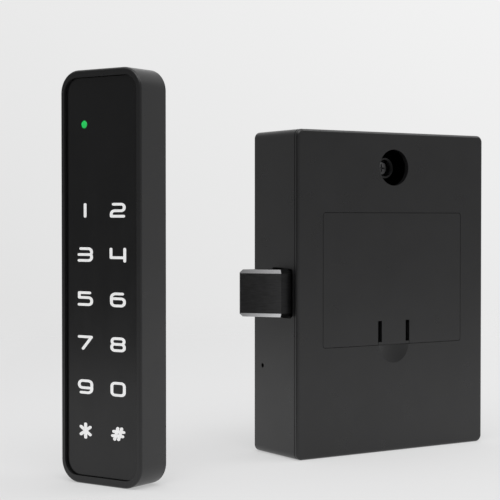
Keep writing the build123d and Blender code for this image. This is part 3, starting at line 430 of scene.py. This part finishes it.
def finishes():
    """Every material slot of the record with its finish."""
    shell = {"patch": 22, "rough": (0.27, 0.32), "grain": 0.28, "depth": 0.008}
    along_x = (0.06, 1, 1)
    along_y = (1, 0.06, 1)
    made = [
        clouded("housing_plastic", (0.0085, 0.0085, 0.0089), (0.0105, 0.0105, 0.011), specular=0.55, **shell),
        clouded("keypad_plastic", (0.0095, 0.0095, 0.0099), (0.012, 0.012, 0.0125), **shell),
        clouded("inner_plastic", (0.008, 0.008, 0.008), (0.013, 0.013, 0.0135), 9, (0.5, 0.62), 0.4, 0.02),
        clouded("gear_plastic", (0.72, 0.7, 0.65), (0.8, 0.79, 0.74), 4, (0.38, 0.5), 0.3, 0.008),
        clouded("chip_black", (0.012, 0.012, 0.013), (0.022, 0.022, 0.024), 1.2, (0.5, 0.66), 0.15, 0.01),
        clouded("capacitor_sleeve", (0.02, 0.024, 0.06), (0.03, 0.036, 0.085), 3, (0.28, 0.4), 0.6, 0.01),
        clouded("button_plastic", (0.55, 0.54, 0.51), (0.64, 0.63, 0.6), 1, (0.4, 0.52), 0.2, 0.006),
        clouded("socket_plastic", (0.68, 0.65, 0.57), (0.77, 0.75, 0.67), 2.5, (0.42, 0.55), 0.25, 0.01),
        diffuser_finish(),
        clouded("lamp_body", (0.78, 0.74, 0.6), (0.86, 0.83, 0.7), 0.6, (0.35, 0.5), 0.15, 0.006),
        brushed("sheet_steel", (0.4, 0.41, 0.42), (0.56, 0.57, 0.58), (0.3, 0.44), 0.006, along_x),
        brushed("pin_steel", (0.5, 0.5, 0.51), (0.62, 0.62, 0.63), (0.2, 0.3), 0.003, along_y),
        brushed("spring_steel", (0.42, 0.42, 0.42), (0.6, 0.6, 0.6), (0.22, 0.34), 0.004, along_x),
        brushed("contact_nickel", (0.52, 0.5, 0.45), (0.68, 0.66, 0.6), (0.2, 0.32), 0.004, along_y),
        brushed("brass", (0.6, 0.43, 0.17), (0.74, 0.56, 0.27), (0.24, 0.36), 0.004, along_y),
        brushed("motor_case", (0.46, 0.47, 0.48), (0.6, 0.61, 0.62), (0.26, 0.38), 0.004, along_y),
        bolt_finish(),
        screw_finish(),
        cell_finish(),
        board_finish(),
        panel_finish(),
        lens_finish(),
    ]
    return {finish.material.name: finish.material for finish in made}


def dress(materials):
    """Gives every node the finish of its slot."""
    for part in frame["record"]["subparts"]:
        mesh = frame["nodes"][part["node"]].data
        mesh.materials.clear()
        mesh.materials.append(materials[part["material_slot"]])


def rounded(corners):
    """The points of a line whose corners are rounded; a corner is (x, z) or (x, z, radius)."""
    points = []
    for index, corner in enumerate(corners):
        here = Vector(corner[:2])
        if len(corner) == 2:
            points.append(here)
            continue
        back = (Vector(corners[index - 1][:2]) - here).normalized()
        onward = (Vector(corners[index + 1][:2]) - here).normalized()
        half_angle = back.angle(onward) / 2
        centre = here + (back + onward).normalized() * (corner[2] / sin(half_angle))
        reach = corner[2] / tan(half_angle)
        start = here + back * reach - centre
        end = here + onward * reach - centre
        turns = [start.slerp(end, step / arc_steps).normalized() for step in range(arc_steps + 1)]
        points += [centre + turn * corner[2] for turn in turns]
    return points


def capsule(start, end, half):
    """The outline of one straight piece of a stroke, with round ends."""
    along = (end - start).normalized()
    left = Vector((-along.y, along.x))
    outline = []
    for middle, first in ((start, pi / 2), (end, -pi / 2)):
        turns = [first + pi * step / cap_steps for step in range(cap_steps + 1)]
        outline += [middle + (along * cos(turn) + left * sin(turn)) * half for turn in turns]
    return outline


def legend_mesh(strokes, width):
    """A legend's strokes joined into one thin solid, drawn in x and z."""
    points = []
    pieces = []
    for corners in strokes:
        line = rounded(corners)
        for start, end in zip(line, line[1:]):
            outline = capsule(start, end, width / 2)
            pieces.append(list(range(len(points), len(points) + len(outline))))
            points += outline
    inside_only = 1
    places, _, triangles, _, _, covered = delaunay_2d_cdt(points, [], pieces, inside_only, legend_join_mm)
    shape = bmesh.new()
    base = [shape.verts.new((place.x * legend_width_share, legend_sink_mm, place.y)) for place in places]
    kept = [triangle for triangle, owners in zip(triangles, covered) if owners]
    faces = [shape.faces.new([base[corner] for corner in triangle]) for triangle in kept]
    bmesh.ops.delete(shape, geom=[vert for vert in base if not vert.link_faces], context="VERTS")
    raised = bmesh.ops.extrude_face_region(shape, geom=faces)["geom"]
    lift = [item for item in raised if isinstance(item, bmesh.types.BMVert)]
    bmesh.ops.translate(shape, verts=lift, vec=(0, -legend_sink_mm - legend_rise_mm, 0))
    bmesh.ops.recalc_face_normals(shape, faces=shape.faces)
    mesh = bpy.data.meshes.new("legend")
    shape.to_mesh(mesh)
    shape.free()
    return mesh


def turned(strokes):
    """The strokes of a legend turned half a turn about its middle."""
    return [[(-x, -z, *radius) for x, z, *radius in stroke] for stroke in strokes]


def loop(half_width, low, high, corner):
    """A closed line with rounded corners."""
    return [(0, high), (half_width, high, corner), (half_width, low, corner),
            (-half_width, low, corner), (-half_width, high, corner), (0, high)]


def legend_strokes():
    """The lines of each key legend about its middle, before it is widened."""
    top = legend_half_mm
    right = 1.75
    bend = 0.87
    six = [[(1.25, top), (-right, top, 1.1), (-right, -top, 0.95), (right, -top, 0.95), (right, 0.33, bend),
            (-right, 0.33)]]
    return {
        "1": [[(0, top), (0, -top)]],
        "2": [[(-1.2, top), (right, top, bend), (right, -0.15, bend), (-right, -0.15, bend),
               (-right, -top), (1.6, -top)]],
        "3": [[(-1.25, top), (right, top, bend), (right, 0, 0.55), (-right, 0)],
              [(right - 0.8, 0), (right, 0, 0.55), (right, -top, bend), (-right, -top)]],
        "4": [[(-1.85, top), (-1.85, -0.75), (1.85, -0.75)], [(1.85, top), (1.85, -top)]],
        "5": [[(1.25, top), (-1.68, top), (-1.68, 0.33), (right, 0.33, bend), (right, -top, bend),
               (-right, -top)]],
        "6": six,
        "7": [[(-right, top), (1.68, top), (-0.65, -top)]],
        "8": [loop(1.62, 0.08, top, 0.75), loop(1.7, -top, 0.08, 0.8)],
        "9": turned(six),
        "0": [loop(1.68, -top, top, 0.85)],
        "star": [[(0, 1.95), (0, -1.95)], [(1.27, 1.1), (-1.27, -1.1)], [(-1.27, 1.1), (1.27, -1.1)]],
        "hash": [[(-0.95, -1.58), (-0.1, 1.58)], [(0.1, -1.58), (0.95, 1.58)],
                 [(-1.5, -0.62), (1.2, -0.62)], [(-1.2, 0.62), (1.5, 0.62)]],
    }


def pad_matrix(x, y, z):
    """From a place in the keypad's own frame in millimetres to the part's frame in metres."""
    turn = Matrix.Rotation(pad_turn, 4, "Z")
    place = Vector((*pad_corner_mm, 0)) + turn @ Vector((x, y, z))
    return Matrix.Translation(place * mm) @ turn @ Matrix.Scale(mm, 4)


def key_legends(material):
    """The twelve legends, printed a hair proud of the panel."""
    strokes = legend_strokes()
    rows = (("1", "2"), ("3", "4"), ("5", "6"), ("7", "8"), ("9", "0"), ("star", "hash"))
    for row, names in enumerate(rows):
        z = key_low_mm + (len(rows) - 1 - row) * key_pitch_mm
        for x, name in zip((key_left_mm, key_right_mm), names):
            mesh = legend_mesh(strokes[name], digit_stroke_mm if name.isdigit() else sign_stroke_mm)
            mesh.transform(pad_matrix(x, panel_face_mm, z))
            mesh.materials.append(material)
            legend = bpy.data.objects.new("legend_" + name, mesh)
            bpy.context.scene.collection.objects.link(legend)
            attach(legend, "lock_and_keypad")


def return_spring(material):
    """The bolt's wound return spring, built at one length; the real one shortens as the bolt slides in."""
    low, high = (Vector(corner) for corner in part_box("bolt_spring"))
    middle = (low + high) / 2
    wire = spring_wire_mm * mm
    radius = (high.z - low.z - wire) / 2
    open_length = high.x - low.x - (closed_turns + 1) * wire
    line = bpy.data.curves.new("return_spring", "CURVE")
    line.dimensions = "3D"
    line.bevel_depth = wire / 2
    line.bevel_resolution = 1
    line.use_fill_caps = True
    spline = line.splines.new("POLY")
    spline.points.add(spring_turns * turn_steps)
    for step, point in enumerate(spline.points):
        turn = step / turn_steps
        opened = min(max((turn - 1) / (spring_turns - closed_turns), 0), 1)
        closed = min(turn, 1) + max(turn - spring_turns + 1, 0)
        angle = 2 * pi * turn
        x = low.x + wire / 2 + opened * open_length + closed * wire
        point.co = (x, middle.y + radius * cos(angle), middle.z + radius * sin(angle), 1)
    mesh = bpy.data.meshes.new_from_object(bpy.data.objects.new("return_spring_line", line))
    mesh.materials.clear()
    mesh.materials.append(material)
    spring = bpy.data.objects.new("return_spring", mesh)
    bpy.context.scene.collection.objects.link(spring)
    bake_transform(spring)
    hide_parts("bolt_spring")


def floor():
    """A pale floor that fades into the backdrop, and keeps the object's soft shadows."""
    bpy.ops.mesh.primitive_circle_add(
        vertices=floor_sides, radius=floor_radius, fill_type="NGON", location=(0, 0, -floor_drop))
    disc = bpy.context.object
    disc.name = "floor"
    material = bpy.data.materials.new("floor")
    tree = Tree(material)
    tree.nodes.remove(tree.nodes["Principled BSDF"])
    place = tree.nodes.new("ShaderNodeNewGeometry").outputs["Position"]
    matt = tree.nodes.new("ShaderNodeBsdfDiffuse")
    matt.inputs["Color"].default_value = floor_colour
    plain = tree.nodes.new("ShaderNodeEmission")
    plain.inputs["Color"].default_value = (1, 1, 1, 1)
    level = tree.profile(tree.towards(place, across_picture), floor_levels)
    tree.links.new(level, plain.inputs["Strength"])
    rays = tree.nodes.new("ShaderNodeLightPath").outputs
    mirrored = tree.maths("MAXIMUM", rays["Is Glossy Ray"], rays["Is Transmission Ray"])
    seen = tree.maths("MAXIMUM", rays["Is Camera Ray"], mirrored)
    near = tree.shaded(tree.maths("MULTIPLY", seen, plain_share), matt.outputs[0], plain.outputs[0])
    clear = tree.nodes.new("ShaderNodeBsdfTransparent")
    faded = tree.spread(tree.length(place), *floor_fade, smooth=True)
    surface = tree.shaded(faded, near, clear.outputs[0])
    tree.links.new(surface, tree.nodes["Material Output"].inputs["Surface"])
    disc.data.materials.append(material)


def studio():
    """Soft surroundings: a light ceiling, and a pale backdrop that is seen directly on all sides but lights
    and mirrors in the object only from behind it, with darker walls elsewhere."""
    world = bpy.data.worlds.new("studio")
    bpy.context.scene.world = world
    tree = Tree(world)
    direction = tree.nodes.new("ShaderNodeTexCoord").outputs["Generated"]
    height = tree.towards(direction, upwards)
    walls = tree.profile(tree.towards(direction, (1, 0, 0)), wall_levels)
    sideways = tree.spread(tree.towards(direction, across_picture), *backdrop_span, *backdrop_sideways)
    upward = tree.spread(height, *backdrop_span, *backdrop_upward)
    backdrop = tree.maths("ADD", upward, sideways)
    behind_object = tree.spread(tree.towards(direction, into_picture), *backdrop_edge, smooth=True)
    seen_directly = tree.nodes.new("ShaderNodeLightPath").outputs["Is Camera Ray"]
    open_to_backdrop = tree.maths("MAXIMUM", behind_object, seen_directly)
    around_object = tree.between(open_to_backdrop, walls, backdrop)
    overhead = tree.spread(height, *ceiling_edge, smooth=True)
    ceiling = tree.spread(overhead, 0, 1, *ceiling_levels, smooth=True)
    background = tree.nodes["Background"]
    background.inputs["Color"].default_value = (1, 1, 1, 1)
    tree.links.new(tree.between(overhead, around_object, ceiling), background.inputs["Strength"])


def softbox(name, place, size, power):
    """A large square light that faces the middle of the object."""
    light = bpy.data.lights.new(name, "AREA")
    light.size = size
    light.energy = power
    lamp = bpy.data.objects.new(name, light)
    lamp.location = place
    lamp.rotation_euler = (lit_place - Vector(place)).to_track_quat("-Z", "Y").to_euler()
    bpy.context.scene.collection.objects.link(lamp)


def camera():
    """The photograph's camera."""
    lens = bpy.data.cameras.new("camera")
    lens.lens = camera_lens_mm
    lens.sensor_width = camera_sensor_mm
    lens.clip_start = camera_nearest
    eye = bpy.data.objects.new("camera", lens)
    eye.location = camera_place
    eye.rotation_euler = (camera_tilt, 0, camera_turn)
    bpy.context.scene.collection.objects.link(eye)
    bpy.context.scene.camera = eye


# The frame's own materials go first, so that the finishes can take the names of their slots
for packed in list(bpy.data.materials):
    bpy.data.materials.remove(packed)
materials = finishes()
dress(materials)
key_legends(materials["diffuser"])
return_spring(materials["spring_steel"])
floor()
studio()
for name, (place, size, power) in softboxes.items():
    softbox(name, place, size, power)
camera()
bpy.context.scene.view_settings.view_transform = "Standard"
